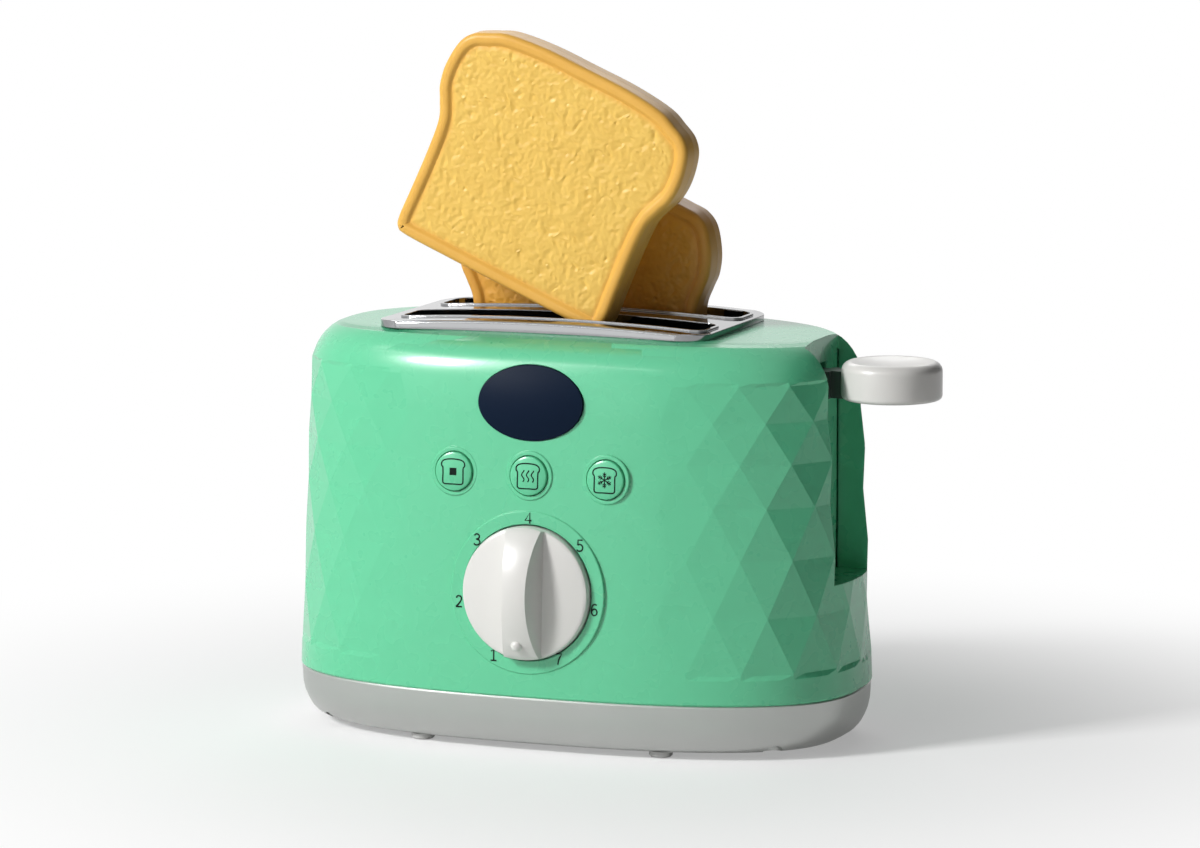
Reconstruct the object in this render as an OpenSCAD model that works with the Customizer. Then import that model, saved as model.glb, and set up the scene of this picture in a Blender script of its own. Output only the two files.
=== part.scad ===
// Toy pop-up toaster with two toy slices of bread, millimetres, +Z up.
// The long side with the dial faces -Y and the lever is at the +X end.

/* [Housing] */
// Half length of the housing at its waist
body_a = 99.2; // [95:0.1:103]
// Half depth of the housing at its waist
body_b = 52.65; // [50:0.05:55]
// Superellipse exponent of the plan
plan_n = 2.63; // [2.3:0.01:3]
// Wall thickness of the moulded housing
wall = 3.2; // [2.8:0.1:3.6]
// Distance between lattice vertices along the end, half a facet
pitch = 9.05; // [8.6:0.05:9.2]
// Height of the seam between housing and base
seam_z = 19.5; // [17:0.1:20]

/* [Top] */
// Height where the shoulder begins
shoulder_z = 123; // [121:0.5:125]
// Height of the shoulder rounding
shoulder_h = 18.6; // [16:0.1:19]
// Half length of the chrome slot plate
plate_l = 60.6; // [58:0.1:62]
// Half depth of the chrome slot plate
plate_w = 36.7; // [36:0.1:38]
// Height of the crown of the slot plate
plate_top = 145.5; // [145:0.1:146.5]
// Place of the slot plate along the length
plate_x = -4.2; // [-5:0.1:-3]
// Corner radius of the slot plate
plate_corner = 12; // [6:0.5:14]
// Half length of a slot
slot_l = 55.1; // [50:0.1:56]
// Place of the slots along the length
slot_x = -2.6; // [-4:0.1:-2]
// Distance of each slot from the middle
slot_y = 17.9; // [17.5:0.1:18.5]

/* [Front] */
// Height of the dial and knob
dial_z = 55.5; // [54:0.1:57]
// Outer radius of the dial ring
dial_r = 27.9; // [26:0.1:29]
// Radius of the knob
knob_r = 22.8; // [21:0.1:23.2]
// Height of the three buttons
button_z = 95.3; // [94:0.1:97]
// Distance between the buttons
button_gap = 27.5; // [26:0.1:29]
// Radius of a button cap
button_r = 6.7; // [6.4:0.1:7]
// Height of the badge
badge_z = 119.9; // [119:0.1:121]

/* [Lever] */
// Half width of the recess for the lever
recess_y = 18; // [17.6:0.1:19]
// Back wall of the recess
recess_x = 86.5; // [86:0.1:88]
// Floor of the recess
recess_z = 58; // [56:0.1:58.2]
// Radius of the lever paddle
paddle_r = 17.2; // [16:0.1:17.3]
// Place of the paddle along the length
paddle_x = 111.5; // [110:0.1:113]
// Travel of the lever
travel = 60; // [50:0.5:60]

/* [Toast] */
// Thickness of a slice
slice_t = 14.4; // [13:0.1:14.6]
// Tilt of the front slice
tilt = 24; // [20:0.5:26]

/* [Hidden] */
$fn = 48;
mint = [0.45, 0.83, 0.68];
silver = [0.76, 0.77, 0.76];
warm = [0.88, 0.88, 0.86];
dark = [0.12, 0.22, 0.18];
zinc = [0.62, 0.64, 0.65];
bread = [0.92, 0.78, 0.38];

row_z = [29.8, 49.0, 68.3, 86.0, 100.8, 114.9, 127.3];
ledge = 1.6;
shoulder_x = 12.5;
shoulder_y = 11;
crown_r = 2700;
plate_r = 787;
arch_r = 32.1;
front_tilt = 2.98;
front_b = body_b + 0.052 * (86 - dial_z);
origin_x = (paddle_x + paddle_r - 101.1) / 2;
origin_y = (56.0 - front_b - 13.3) / 2;

// ---------------------------------------------------------------- housing form
function sgnpow(v, e) = sign(v) * pow(abs(v), e);
function plan(t, a, b) = [a * sgnpow(cos(t), 2 / plan_n), b * sgnpow(sin(t), 2 / plan_n)];
// the body tapers gently towards the top, then the shoulder draws in as a quarter ellipse
function rise(z) = max(0, min(1, (z - shoulder_z) / shoulder_h));
function a_at(z) = body_a - 0.034 * (z - 86) - shoulder_x * (1 - sqrt(1 - pow(rise(z), 2)));
function b_at(z) = body_b - 0.052 * (z - 86) - shoulder_y * (1 - sqrt(1 - pow(rise(z), 2)));
// arc length from the middle of the end, at the waist, against the plan's parameter
arc = [for (i = 0, s = 0; i <= 180; i = i + 1,
    s = s + norm(plan(i / 2, body_a, body_b) - plan((i - 1) / 2, body_a, body_b))) [s, i / 2]];
quarter = arc[180][0];
function par(s) = sign(s) * lookup(abs(s), arc);
// ring of 104 stations: +X end, back, -X end, front; each is [side, lattice index, parameter]
half_front = quarter - 9 * pitch;
stations = concat(
    [for (k = [-9:0.5:9]) [1, k, par(k * pitch)]],
    [for (i = [1:15]) let (s = 9 * pitch + half_front * i / 8)
        [0, 0, s <= quarter ? par(s) : 180 - par(2 * quarter - s)]],
    [for (k = [9:-0.5:-9]) [-1, k, 180 - par(k * pitch)]],
    [for (i = [15:-1:1]) let (s = 9 * pitch + half_front * i / 8)
        [0, 0, s <= quarter ? -par(s) : par(2 * quarter - s) - 180]]);
M = len(stations);
function smooth_ring(z, off = 0, scale_in = 1) = [for (p = stations)
    let (q = plan(p[2], (a_at(z) - off) * scale_in, (b_at(z) - off) * scale_in))
    [q[0], q[1], z - rise(z) * q[0] * q[0] / (2 * crown_r)]];
function vertex(side, k, z) = let (q = plan(par(k * pitch), a_at(z), b_at(z))) [side * q[0], q[1], z];
// a lattice row: straight chords between every second vertex, smooth along the front and back
function row_ring(r) = let (z = row_z[r], odd = r % 2, last = odd == 1 ? 9 : 8)
    [for (p = stations) let (k0 = odd + 2 * floor((p[1] - odd) / 2), f = (p[1] - k0) / 2)
        p[0] == 0 || abs(p[1]) > last ? concat(plan(p[2], a_at(z), b_at(z)), z)
        : f == 0 ? vertex(p[0], p[1], z)
        : (1 - f) * vertex(p[0], k0, z) + f * vertex(p[0], k0 + 2, z)];
function quads(i, js, m) = [for (j = js) let (n = (j + 1) % m)
    each [[i * m + j, (i + 1) * m + j, (i + 1) * m + n], [i * m + j, (i + 1) * m + n, i * m + n]]];
// one facet step of two stations, its fold running up (1) or down (0) to the right
function fold(i, j, up) = let (a = i * M + j, b = (i + 1) * M + j) up == 1
    ? [[a, b, b + 1], [a, b + 1, b + 2], [a, b + 2, a + 1], [a + 1, b + 2, a + 2]]
    : [[a, b, a + 1], [a + 1, b, a + 2], [a + 2, b, b + 1], [a + 2, b + 1, b + 2]];
function facet_strip(i, r) = concat(
    [for (q = [0:17]) each fold(i, 2 * q, abs(-9 + q - r) % 2 == 0 ? 1 : 0)],
    [for (q = [0:17]) each fold(i, 52 + 2 * q, abs(9 - q - r) % 2 == 0 ? 1 : 0)],
    quads(i, [36:51], M), quads(i, [88:103], M));

module housing_outer() {
    top_z = shoulder_z + shoulder_h;
    rings = concat([smooth_ring(seam_z, 0.5)], [smooth_ring(seam_z + 0.6)], [smooth_ring(row_z[0] - ledge)],
        [for (r = [0:6]) row_ring(r)], [smooth_ring(row_z[6] + ledge)],
        [for (ph = [30, 40, 50, 60, 70, 80, 90]) smooth_ring(shoulder_z + shoulder_h * sin(ph))],
        [for (s = [0.8, 0.45]) smooth_ring(top_z, 0, s)]);
    n = len(rings);
    polyhedron(points = concat([for (r = rings) each r], [[0, 0, top_z]]),
        faces = concat([[for (j = [0:M - 1]) j]],
            [for (i = [0:n - 2]) each (i >= 3 && i <= 8 ? facet_strip(i, i - 3) : quads(i, [0:M - 1], M))],
            [for (j = [0:M - 1]) [(n - 1) * M + j, n * M, (n - 1) * M + (j + 1) % M]]));
}
module housing_inner() {
    top_z = shoulder_z + shoulder_h - wall;
    m = M / 2;
    levels = [for (z = [seam_z - 2, 60, 100, shoulder_z]) [z, 0],
        for (ph = [35, 60, 90]) [shoulder_z + (shoulder_h - wall) * sin(ph), (1 - cos(ph))]];
    rings = [for (l = levels) [for (i = [0:m - 1]) let (z = l[0],
        q = plan(stations[2 * i][2], body_a - 0.034 * (z - 86) - wall - shoulder_x * l[1],
            body_b - 0.052 * (z - 86) - wall - shoulder_y * l[1])) [q[0], q[1], z]]];
    n = len(rings);
    polyhedron(points = concat([for (r = rings) each r], [[0, 0, top_z]]),
        faces = concat([[for (j = [0:m - 1]) j]], [for (i = [0:n - 2]) each quads(i, [0:m - 1], m)],
            [for (j = [0:m - 1]) [(n - 1) * m + j, n * m, (n - 1) * m + (j + 1) % m]]));
}

// places a child on the front face: its z points out of the face, its y up
function front_y(x, z) = -(body_b - 0.052 * (z - 86)) * pow(1 - pow(abs(x) / body_a, plan_n), 1 / plan_n);
module on_front(x, z) {
    translate([x, front_y(x, z), z]) rotate([90 - front_tilt, 0, 0]) children();
}
module rrect(l, w, r) {
    square([2 * l - 2 * r, 2 * w], center = true);
    square([2 * l, 2 * w - 2 * r], center = true);
    for (sx = [-1, 1], sy = [-1, 1]) translate([sx * (l - r), sy * (w - r)]) circle(r, $fn = 40);
}
module block(x0, x1, y0, y1, z0, z1) {
    translate([x0, y0, z0]) cube([x1 - x0, y1 - y0, z1 - z0]);
}
module rod_y(x, z, r, y0, y1) {
    translate([x, y0, z]) rotate([-90, 0, 0]) cylinder(r = r, h = y1 - y0);
}
module screw(r, len, head_r, head_h) {
    translate([0, 0, -head_h * 0.3]) cylinder(r = r, h = len + head_h * 0.3);
    difference() {
        translate([0, 0, -head_h]) cylinder(r = head_r, h = head_h - 0.02);
        translate([0, 0, -head_h - 0.01]) for (a = [0, 90]) rotate(a)
            translate([-head_r * 0.6, -0.35, 0]) cube([head_r * 1.2, 0.7, head_h * 0.6]);
    }
}
// helical spring of a round wire, as one unbroken tube of 8 rings a turn
module coil(r, wire, len, turns) {
    n = turns * 8;
    s = 6;
    function at(i) = [r * cos(i * 45), r * sin(i * 45), wire + (len - 2 * wire) * i / n];
    pts = [for (i = [0:n]) let (c = at(i), u = [cos(i * 45), sin(i * 45), 0])
        each [for (k = [0:s - 1]) c + wire * (cos(k * 60) * u + sin(k * 60) * [0, 0, 1])]];
    polyhedron(points = pts, faces = concat([[for (k = [s - 1:-1:0]) k]], [[for (k = [0:s - 1]) n * s + k]],
        [for (i = [0:n - 1], k = [0:s - 1]) let (a = i * s + k, b = i * s + (k + 1) % s)
            each [[a, b, b + s], [a, b + s, a + s]]]));
}

// ---------------------------------------------------------------- housing
boss_xy = [[80.5, 32.5], [80.5, -32.5], [-80.5, 32.5], [-80.5, -32.5]];
frame_xy = [[-65, 26], [-65, -26], [58.5, 31], [58.5, -31]];
timer_xy = [[-26, 0], [26, 0], [0, 26]];
module recess(grow) {
    // rounded vertical corners at the back wall, open at the end and at the top
    translate([0, 0, recess_z - grow]) linear_extrude(100) {
        translate([recess_x - grow + 8 + grow, 0]) square([16, 2 * recess_y + 2 * grow], center = true);
        translate([recess_x - grow, -(recess_y - 8)]) square([40, 2 * (recess_y - 8)]);
        for (s = [-1, 1]) translate([recess_x + 8, s * (recess_y - 8)]) circle(8 + grow);
        translate([recess_x + 8, -(recess_y + grow)]) square([40, 2 * (recess_y + grow)]);
    }
}
module badge_oval(a, b) {
    polygon([for (i = [0:71]) [a * cos(i * 5), b * sin(i * 5)]]);
}
module badge_bow(extra) {
    // the front bows back above the waist, so the badge is a slice of this drum
    translate([-30, -50.9 + 95 * cos(6), badge_z - 95 * sin(6)]) rotate([0, 90, 0])
        cylinder(r = 95 + extra, h = 60, $fn = 120);
}
// low round boss on the front with a softened edge
module boss(r, top) {
    translate([0, 0, -2.5]) cylinder(r = r, h = 2.2 + top, $fn = 96);
    translate([0, 0, top - 0.3]) cylinder(r1 = r, r2 = r - 0.3, h = 0.3, $fn = 96);
}
module body_shell() {
    color(mint) difference() {
        union() {
            housing_outer();
            on_front(0, dial_z) boss(dial_r, 0.4);
            for (i = [-1, 0, 1]) on_front(i * button_gap, button_z) boss(8.45, 0.5);
        }
        difference() {
            housing_inner();
            recess(2.4);
            for (p = boss_xy) translate([p[0], p[1], seam_z]) cylinder(r = 4.6, h = 16);
            for (p = frame_xy) translate([p[0], p[1], 136.9]) cylinder(r = 3.4, h = 4);
            on_front(0, dial_z) translate([0, 0, -5.6]) cylinder(r = 30, h = 5);
            on_front(0, button_z) for (s = [-1, 1]) translate([s * button_gap / 2, 0, -8.96])
                cylinder(r = 2.8, h = 9);
        }
        recess(0);
        block(recess_x - 8, recess_x + 2, -4, 4, recess_z + 0.8, 131.5);
        translate([slot_x, 0, 130]) linear_extrude(30) rrect(57.4, 30.5, 5);
        for (p = boss_xy) translate([p[0], p[1], seam_z - 1]) cylinder(r = 1.3, h = 13);
        for (p = frame_xy) translate([p[0], p[1], 136]) cylinder(r = 1.0, h = 4);
        on_front(0, dial_z) {
            translate([0, 0, -2.6]) cylinder(r = knob_r + 0.6, h = 12, $fn = 96);
            translate([0, 0, -8]) cylinder(r = 3.2, h = 12);
            for (p = timer_xy) translate([p[0], p[1], -6]) cylinder(r = 1.0, h = 4.2);
        }
        for (i = [-1, 0, 1]) on_front(i * button_gap, button_z) translate([0, 0, -6])
            cylinder(r = button_r + 0.3, h = 12);
        on_front(0, button_z) for (s = [-1, 1]) translate([s * button_gap / 2, 0, -10])
            cylinder(r = 1.0, h = 7);
        intersection() {
            translate([0, -30, badge_z]) rotate([90, 0, 0]) linear_extrude(40) badge_oval(19.1, 12.9);
            difference() {
                badge_bow(20);
                badge_bow(-0.9);
            }
        }
    }
}
module badge() {
    color([0.06, 0.12, 0.22]) intersection() {
        translate([0, -30, badge_z]) rotate([90, 0, 0]) linear_extrude(40) badge_oval(18.9, 12.7);
        difference() {
            badge_bow(0.7);
            badge_bow(-0.9);
        }
    }
}

// ---------------------------------------------------------------- base
tray_profile = [[2, 10.5], [2.3, 7.1], [3.6, 4.8], [5.4, 3.2], [7.7, 2], [10.5, 0.9], [13.4, 0.3], [seam_z - 0.6, 0],
    [seam_z, 0.5]];
module tray_form(profile, m) {
    n = len(profile);
    rings = [for (p = profile) [for (i = [0:m - 1]) let (q = plan(i * 360 / m + 1.5, 101.1 - p[1], 56.0 - p[1]))
        [q[0], q[1], p[0]]]];
    polyhedron(points = [for (r = rings) each r], faces = concat([[for (j = [0:m - 1]) j]],
        [for (i = [0:n - 2]) each quads(i, [0:m - 1], m)], [[for (j = [m - 1:-1:0]) (n - 1) * m + j]]));
}
foot_xy = [for (sx = [-1, 1], sy = [-1, 1]) [sx * 43.7, sy * 41.8]];
module base_tray() {
    color(silver) difference() {
        tray_form(tray_profile, 80);
        difference() {
            tray_form([[4.6, 9.6], [8, 5], [13.4, 3.2], [seam_z + 1, 3]], 60);
            for (p = boss_xy) translate([p[0], p[1], 3]) cylinder(r = 5.2, h = seam_z - 3);
            for (p = foot_xy) translate([p[0], p[1], 3]) cylinder(r = 5, h = 4);
        }
        for (p = boss_xy) translate([p[0], p[1], 0]) {
            translate([0, 0, -1]) cylinder(r = 3.4, h = 9);
            cylinder(r = 1.8, h = 30);
        }
        for (p = foot_xy) translate([p[0], p[1], 0]) cylinder(r = 2.5, h = 5);
    }
}
module feet() {
    color([0.2, 0.2, 0.2]) for (p = foot_xy) translate([p[0], p[1], 0]) {
        rotate_extrude() polygon([[0, 0], [3.5, 0], [4, 0.5], [4, 2], [2.5, 2], [2.5, 4.8], [0, 4.8]]);
    }
}
module base_screws() {
    color(zinc) for (p = boss_xy) translate([p[0], p[1], 8]) screw(1.3, 20, 2.9, 2);
}

// ---------------------------------------------------------------- slot plate
module bowed(profile_angle = 8.8) {
    // turns a cross-section (radius, y) about a far axis along Y, so the plate bows along its length
    translate([plate_x, 0, plate_top - plate_r]) rotate([-90, 0, 0]) rotate([0, 0, -90 - profile_angle / 2])
        rotate_extrude(angle = profile_angle, $fn = 720) children();
}
// closed section with a deep foot and rounded long edges
function turn(cx, cy, r, a0, a1, n) = [for (i = [0:n]) let (a = a0 + (a1 - a0) * i / n)
    [cx + r * cos(a), cy + r * sin(a)]];
module plate_section() {
    polygon(concat([[plate_r - 7, plate_w], [plate_r - 7, -plate_w]],
        turn(plate_r - 1.4, -plate_w + 1.4, 1.4, -90, 0, 4), turn(plate_r - 1.4, plate_w - 1.4, 1.4, 0, 90, 4)));
}
module slot_plate() {
    color([0.8, 0.81, 0.82]) difference() {
        union() {
            difference() {
                union() {
                    intersection() {
                        bowed() plate_section();
                        translate([plate_x, 0, 130]) linear_extrude(30) rrect(plate_l, plate_w, plate_corner);
                    }
                    // raised rim round each slot
                    intersection() {
                        bowed() translate([plate_r - 2, -plate_w]) square([2.6, 2 * plate_w]);
                        for (s = [-1, 1]) translate([slot_x, s * slot_y, 130]) linear_extrude(30)
                            rrect(slot_l + 1.2, 10.2, 5.7);
                    }
                }
                // the underside lies along the crown of the housing
                rotate([90, 0, 0]) linear_extrude(100, center = true) polygon(concat([[-80, 120], [80, 120]],
                    [for (x = [80:-5:-80]) [x, shoulder_z + shoulder_h + 0.03 - x * x / (2 * crown_r)]]));
            }
            // skirt that drops into the housing's opening
            difference() {
                translate([slot_x, 0, 137.8]) linear_extrude(4.6) rrect(57, 30.1, 4.6);
                translate([slot_x, 0, 137]) linear_extrude(8) rrect(55.8, 28.8, 3.6);
            }
        }
        for (s = [-1, 1]) translate([slot_x, s * slot_y, 130]) linear_extrude(30) rrect(slot_l, 9, 4.5);
    }
}

// ---------------------------------------------------------------- inner frame with the two wells
well_x0 = -61;
well_x1 = 55;
module inner_frame() {
    color(dark) difference() {
        union() {
            for (s = [-1, 1]) block(well_x0 - 1.6, well_x1 + 1.6, s * slot_y - 10.8, s * slot_y + 10.8, 35, 136.8);
            translate([0, 0, 134.6]) linear_extrude(2) for (s = [0, 1]) mirror([0, s])
                polygon([[-69, -1], [-69, 28.5], [-62, 31.6], [-58, 33], [61, 33], [63, 31], [63, -1]]);
            block(well_x0 + 20, well_x0 + 22, -8, 8, 36, 136);
            block(well_x1 - 2, well_x1, -8, 8, 36, 136);
            block(well_x1, 81, -20, 20, 134.6, 136.6);
            block(well_x1, 81, -20, 20, 35, 38);
            for (s = [-1, 1]) {
                translate([72, s * 12, 124.6]) cylinder(r = 4, h = 11);
                translate([72, s * 12, 35]) cylinder(r = 4, h = 8);
                block(72, 77, s * 6.6 - 1.5, s * 6.6 + 1.5, 26.5, 36);
                block(68, 76, s * 21 - 3.4, s * 21 + 3.4, 134.6, 136.6);
            }
        }
        for (s = [-1, 1]) {
            block(well_x0, well_x1, s * slot_y - 9.2, s * slot_y + 9.2, 36.6, 140);
            block(well_x1 - 3, well_x1 + 1.7, s * slot_y - 5, s * slot_y + 5, 38, 108);
            translate([72, s * 12, 30]) cylinder(r = 2.02, h = 120);
        }
        block(well_x0 + 21.9, well_x1 - 2, -7, 7, 133, 140);
        block(69.6, 78, -5, 5, 34, 39);
        rod_y(74.5, 30, 1.52, -20, 20);
        for (p = frame_xy) translate([p[0], p[1], 130]) cylinder(r = 1.2, h = 10);
    }
}
module frame_screws() {
    color(zinc) for (p = frame_xy) translate([p[0], p[1], 134.6]) screw(1.0, 4.6, 2.4, 1.6);
}
module guide_rods() {
    color(zinc) for (s = [-1, 1]) translate([72, s * 12, 35]) cylinder(r = 2, h = 101.6);
}

// ---------------------------------------------------------------- carriage and lever
arm_z0 = 119.9;
arm_z1 = 129.2;
module carriage() {
    color(warm) difference() {
        union() {
            block(64, 80, -18, 18, 110, 124);
            for (s = [-1, 1]) block(68, 76, s > 0 ? 17.9 : -24.4, s > 0 ? 24.4 : -17.9, 110, 113);
            // catch that the hook holds when the lever is down
            block(65, 67, -4, 4, 100, 110.1);
            block(65, 69.4, -4, 4, 100, 102);
        }
        for (s = [-1, 1]) translate([72, s * 12, 100]) cylinder(r = 2.08, h = 40);
        block(60, 90, -3.5, 3.5, arm_z0, 130);
        for (s = [-1, 1]) translate([63, s * slot_y - s * 1.4, 115]) rotate([0, 90, 0]) cylinder(r = 1, h = 6);
        translate([76.8, 0, 112]) cylinder(r = 1, h = 10);
    }
}
module rack(s) {
    color(zinc) difference() {
        union() {
            block(-52, 64, s * slot_y - 4, s * slot_y + 4, 101, 103.7);
            block(61.5, 64, s * slot_y - 4, s * slot_y + 4, 101, 121);
            block(-52, -49, s * slot_y - 4, s * slot_y + 4, 100, 102);
        }
        for (x = [-40:20:40]) block(x - 6, x + 6, s * slot_y - 1.2, s * slot_y + 1.2, 98, 106);
        translate([60, s * slot_y - s * 1.4, 115]) rotate([0, 90, 0]) cylinder(r = 1.2, h = 6);
    }
}
module rack_screws() {
    color(zinc) for (s = [-1, 1]) translate([61.5, s * slot_y - s * 1.4, 115]) rotate([0, 90, 0])
        screw(1, 6, 2, 1.3);
}
module lever_arm() {
    color([0.2, 0.27, 0.25]) difference() {
        union() {
            block(64, 108, -3.5, 3.5, arm_z0, arm_z1);
            block(88.4, 91, -6, 6, arm_z0, arm_z1);
        }
        block(63, 80, -2, 2, arm_z0 + 2.4, arm_z1 + 1);
        translate([76.8, 0, 110]) cylinder(r = 1.2, h = 16);
    }
}
module arm_screw() {
    color(zinc) translate([76.8, 0, arm_z0 + 2.4]) rotate([180, 0, 0]) screw(1, 9, 1.9, 1.4);
}
module lever_paddle() {
    color(warm) difference() {
        translate([paddle_x, 0, 0]) rotate_extrude($fn = 96) difference() {
            union() {
                translate([0, 120.2]) square([paddle_r - 3.4, 13]);
                translate([0, 120.2]) square([paddle_r - 1.6, 9]);
                translate([0, 121.8]) square([paddle_r, 8]);
                translate([paddle_r - 1.6, 121.8]) circle(1.6, $fn = 24);
                translate([paddle_r - 3.4, 129.8]) circle(3.4, $fn = 32);
            }
            // dished top
            translate([0, 131.4 + 60]) circle(60, $fn = 180);
            translate([-20, 100]) square([20, 60]);
        }
        block(90, 108.1, -3.6, 3.6, arm_z0 - 0.01, arm_z1 + 0.01);
    }
}
module lift_springs() {
    color(zinc) for (s = [-1, 1]) translate([72, s * 21.4, 113.02]) coil(2.2, 0.45, 21.4, 8);
}

// ---------------------------------------------------------------- latch
module latch_hook() {
    color(zinc) difference() {
        union() {
            block(73, 76, -3.5, 3.5, 28, 46);
            rod_y(74.5, 30, 3, -3.5, 3.5);
            block(70.4, 74, -3.5, 3.5, 43, 46);
        }
        rod_y(74.5, 30, 1.56, -10, 10);
    }
}
module latch_pin() {
    color(zinc) rod_y(74.5, 30, 1.5, -8.1, 8.1);
}

// ---------------------------------------------------------------- timer and knob
module timer_case() {
    color([0.7, 0.66, 0.5]) on_front(0, dial_z) difference() {
        union() {
            translate([0, 0, -19]) cylinder(r = 22, h = 12, $fn = 72);
            translate([0, 0, -7.2]) cylinder(r = 22, h = 1.6, $fn = 72);
            for (p = timer_xy) {
                translate([p[0], p[1], -7.2]) cylinder(r = 3, h = 1.6);
                translate([0, 0, -6.4]) rotate(atan2(p[1], p[0])) translate([13, 0, 0])
                    cube([26, 6, 1.6], center = true);
            }
        }
        for (p = timer_xy) translate([p[0], p[1], -9]) cylinder(r = 1.2, h = 6);
        translate([0, 0, -25]) cylinder(r = 2.95, h = 30);
        translate([0, 0, -19.1]) cylinder(r = 18, h = 4);
    }
}
module timer_cover() {
    color([0.7, 0.66, 0.5]) on_front(0, dial_z) difference() {
        translate([0, 0, -20.2]) cylinder(r = 22, h = 1.2, $fn = 72);
        translate([0, 0, -25]) cylinder(r = 2.95, h = 30);
    }
}
module timer_screws() {
    color(zinc) on_front(0, dial_z) for (p = timer_xy) translate([p[0], p[1], -7.2]) screw(1, 5, 2.2, 1.4);
}
module timer_spindle() {
    color(zinc) on_front(0, dial_z) {
        difference() {
            translate([0, 0, -21.4]) cylinder(r = 2.9, h = 28.4);
            translate([-5, 1.9, -2.6]) cube([10, 5, 12]);
        }
        translate([0, 0, -18.4]) cylinder(r = 8, h = 2.4);
    }
}
// a disc with a rounded rim; a tapered rib across it, whose top is an arch; a pointer bump on the rib
module timer_knob() {
    color(warm) on_front(0, dial_z) difference() {
        union() {
            rotate_extrude($fn = 96) polygon([[0, -2.2], [knob_r - 0.4, -2.2], [knob_r, -1.8], [knob_r, 2],
                [knob_r - 0.4, 2.95], [knob_r - 1.4, 3.4], [0, 3.4]]);
            intersection() {
                rotate([90, 0, 0]) linear_extrude(50, center = true)
                    polygon([[-7.2, 1.4], [7.2, 1.4], [4.1, 13.6], [-4.1, 13.6]]);
                translate([0, 0, 13.3 - arch_r]) rotate([0, 90, 0])
                    cylinder(r = arch_r, h = 30, center = true, $fn = 180);
                translate([0, 0, 1.4]) cylinder(r = knob_r - 0.3, h = 20, $fn = 96);
            }
            translate([-0.4, -17.2, 7.9]) sphere(r = 2.1, $fn = 24);
        }
        difference() {
            translate([0, 0, -3]) cylinder(r = 2.94, h = 10.2);
            translate([-5, 1.94, -4]) cube([10, 5, 14]);
        }
    }
}

// ---------------------------------------------------------------- buttons
module button(x) {
    color(warm) on_front(x, button_z) {
        rotate_extrude() polygon([[0, -12.5], [2.4, -12.5], [2.4, -5.4], [7.8, -5.4], [7.8, -4.3], [button_r, -4.3],
            [button_r, 0.8], [button_r - 0.25, 1.4], [button_r - 0.9, 1.7], [0, 1.7]]);
    }
}
module button_plate() {
    color(warm) on_front(0, button_z) difference() {
        union() {
            translate([-38, -7, -11]) cube([76, 14, 2]);
            for (i = [-1, 0, 1]) translate([i * button_gap, 0, -13.4]) cylinder(r = 4, h = 4.4);
            // flexing tongues that push each button out
            for (i = [-1, 0, 1], s = [-1, 1]) translate([i * button_gap + s * 5.4 - 1, -6, -9.5])
                cube([2, 2, i == 0 ? 1.9 : 1.1]);
        }
        for (i = [-1, 0, 1]) translate([i * button_gap, 0, -20]) cylinder(r = 2.46, h = 20);
        for (s = [-1, 1]) translate([s * button_gap / 2, 0, -20]) cylinder(r = 1.2, h = 20);
    }
}
module button_screws() {
    color(zinc) on_front(0, button_z) for (s = [-1, 1]) translate([s * button_gap / 2, 0, -11])
        screw(1, 6, 2.1, 1.4);
}

// ---------------------------------------------------------------- toast
// half outline of a slice from the middle of its foot to the middle of its top, hand-placed
slice_pts = [[0, 0], [20, 0], [36.8, 0.2], [40.6, 1.6], [41.8, 5.5], [41.6, 16], [41.4, 30], [41.9, 42],
    [44.2, 48.4], [46.4, 53.6], [47.2, 61], [45.7, 70], [42.2, 75], [36.9, 77.8], [30, 80.4], [16, 81.9], [0, 82]];
function cat(p, q, r, s, t) = 0.5 * (2 * q + t * (r - p) + t * t * (2 * p - 5 * q + 4 * r - s)
    + t * t * t * (3 * q - p - 3 * r + s));
function flip(p) = [-p[0], p[1]];
slice_half = [for (i = [0:len(slice_pts) - 2]) let (p = i == 0 ? flip(slice_pts[1]) : slice_pts[i - 1],
    s = i == len(slice_pts) - 2 ? flip(slice_pts[i]) : slice_pts[i + 2])
    each [for (t = [0, 0.5]) cat(p, slice_pts[i], slice_pts[i + 1], s, t)]];
slice_line = concat(slice_half, [[0, 82]], [for (i = [len(slice_half) - 1:-1:1]) flip(slice_half[i])]);
function inward(line, d) = let (n = len(line)) [for (i = [0:n - 1])
    let (v = line[(i + 1) % n] - line[(i + n - 1) % n], u = v / norm(v)) line[i] + d * [-u[1], u[0]]];
// one moulded half: parting line, draft, rounded rim, then the sunk field
module slice_half_shell(s) {
    h = slice_t / 2;
    prof = [[0, 0.06], [0, h - 2], [0.5, h - 0.9], [1.5, h - 0.1], [2.6, h], [3.8, h - 0.3], [4.6, h - 1.1], [9, h - 1.2]];
    n = len(slice_line);
    m = len(prof);
    rings = [for (p = prof) let (l = inward(slice_line, p[0] + 0.35 * p[1] / h)) [for (q = l) [q[0], s * p[1], q[1]]]];
    fc = concat([[for (j = [n - 1:-1:0]) j]], [for (i = [0:m - 2], j = [0:n - 1]) let (k = (j + 1) % n)
            each [[i * n + j, i * n + k, (i + 1) * n + k], [i * n + j, (i + 1) * n + k, (i + 1) * n + j]]],
        [for (j = [0:n - 1]) [(m - 1) * n + j, (m - 1) * n + (j + 1) % n, m * n]]);
    polyhedron(points = concat([for (r = rings) each r], [[0, s * (h - 1.0), 42]]),
        faces = s > 0 ? fc : [for (f = fc) [for (i = [len(f) - 1:-1:0]) f[i]]]);
}
module on_front_slice() {
    translate([-23.6, -slot_y, 156.6]) rotate([0, tilt, 0]) children();
}
module on_back_slice() {
    translate([-4.8, slot_y, 104]) children();
}

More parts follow.
